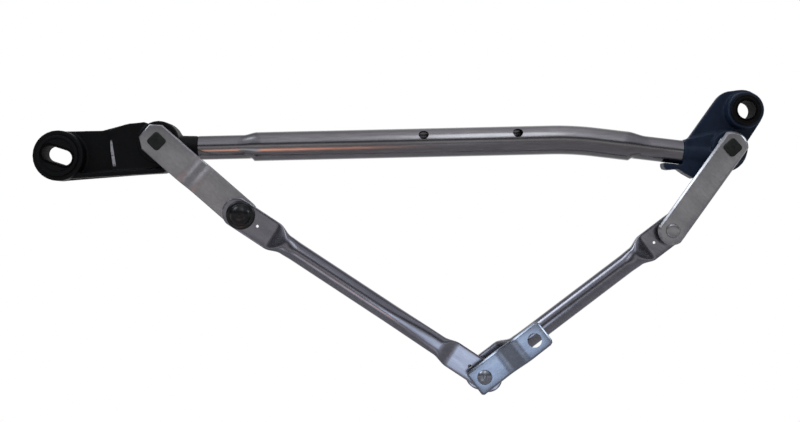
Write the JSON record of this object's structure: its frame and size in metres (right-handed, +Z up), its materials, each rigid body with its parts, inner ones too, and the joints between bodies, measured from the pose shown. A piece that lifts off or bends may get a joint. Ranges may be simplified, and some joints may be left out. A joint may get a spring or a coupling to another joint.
{
  "type": "wiper linkage",
  "caption": "Windscreen wiper linkage: a tube frame with pivot housings at its ends, crank arms on spindles, and link rods that meet at the motor crank's ball pin.",
  "frame": {"origin": "centre of the flat tip of the left spindle, where the left wiper arm sits", "axes": "+X runs to the right spindle as seen from the crank arms' side, +Y is the way the spindles' wiper ends point, +Z is up with the linkage hung up as in the picture"},
  "size_m": [0.5761, 0.1205, 0.2375],
  "materials": {
    "tube_steel": "zinc plated tube, satin",
    "cast_housing": "black coated die casting, half matt",
    "rubber": "matt black",
    "dark_steel": "phosphated, dark grey",
    "bush_bronze": "sintered bronze, oiled",
    "bright_steel": "ground",
    "arm_steel": "zinc plated pressing",
    "rod_steel": "zinc plated tube, bright",
    "socket_plastic": "black, slight sheen",
    "crank_steel": "zinc plated pressing, bluish"
  },
  "bodies": {
    "frame": {"frame_tube": "tube_steel", "left_pivot_housing": "cast_housing", "right_pivot_housing": "cast_housing", "left_grommet": "rubber", "right_grommet": "rubber", "left_grommet_sleeve": "dark_steel", "right_grommet_sleeve": "dark_steel", "left_front_bush": "bush_bronze", "left_rear_bush": "bush_bronze", "right_front_bush": "bush_bronze", "right_rear_bush": "bush_bronze", "left_wave_washer": "bright_steel", "right_wave_washer": "bright_steel", "left_thrust_washer": "bright_steel", "right_thrust_washer": "bright_steel", "left_o_ring": "rubber", "right_o_ring": "rubber", "left_rear_washer": "bright_steel", "right_rear_washer": "bright_steel"},
    "left_arm": {"left_spindle": "dark_steel", "left_crank_arm": "arm_steel", "left_arm_ball_stud": "bright_steel", "left_circlip": "bright_steel"},
    "right_arm": {"right_spindle": "dark_steel", "right_crank_arm": "arm_steel", "right_arm_ball_stud": "bright_steel", "right_circlip": "bright_steel"},
    "left_rod": {"left_link_rod": "rod_steel", "left_rod_outer_socket": "socket_plastic", "left_rod_inner_socket": "socket_plastic"},
    "right_rod": {"right_link_rod": "rod_steel", "right_rod_outer_socket": "socket_plastic", "right_rod_inner_socket": "socket_plastic"},
    "crank": {"motor_crank": "crank_steel", "crank_double_ball_pin": "bright_steel"}
  },
  "joints": [
    {"name": "left_arm_turn", "type": "hinge", "parent": "frame", "child": "left_arm", "pos_m": [0, -0.0985, 0], "axis": [0, -1, 0], "range_deg": [-35, 7]},
    {"name": "left_rod_turn", "type": "hinge", "parent": "left_arm", "child": "left_rod", "pos_m": [0.06609, -0.0985, -0.05765], "axis": [0, -1, 0], "range_deg": [-9.8, 48.5]},
    {"name": "right_arm_turn", "type": "hinge", "parent": "frame", "child": "right_arm", "pos_m": [0.4491, -0.0815, -0.0049], "axis": [0, -1, 0], "range_deg": [-26.4, 5.4]},
    {"name": "right_rod_turn", "type": "hinge", "parent": "right_arm", "child": "right_rod", "pos_m": [0.40259, -0.0815, -0.06987], "axis": [0, -1, 0], "range_deg": [-6.1, 29.9]},
    {"name": "crank_turn", "type": "hinge", "parent": "left_rod", "child": "crank", "pos_m": [0.2548, -0.0985, -0.1819], "axis": [0, -1, 0], "continuous": true}
  ],
  "couplings": [
    {"joint": "left_rod_turn", "follows": "left_arm_turn", "ratio": -1.3808},
    {"joint": "right_arm_turn", "follows": "left_arm_turn", "ratio": 0.75},
    {"joint": "right_rod_turn", "follows": "left_arm_turn", "ratio": -0.8496}
  ]
}
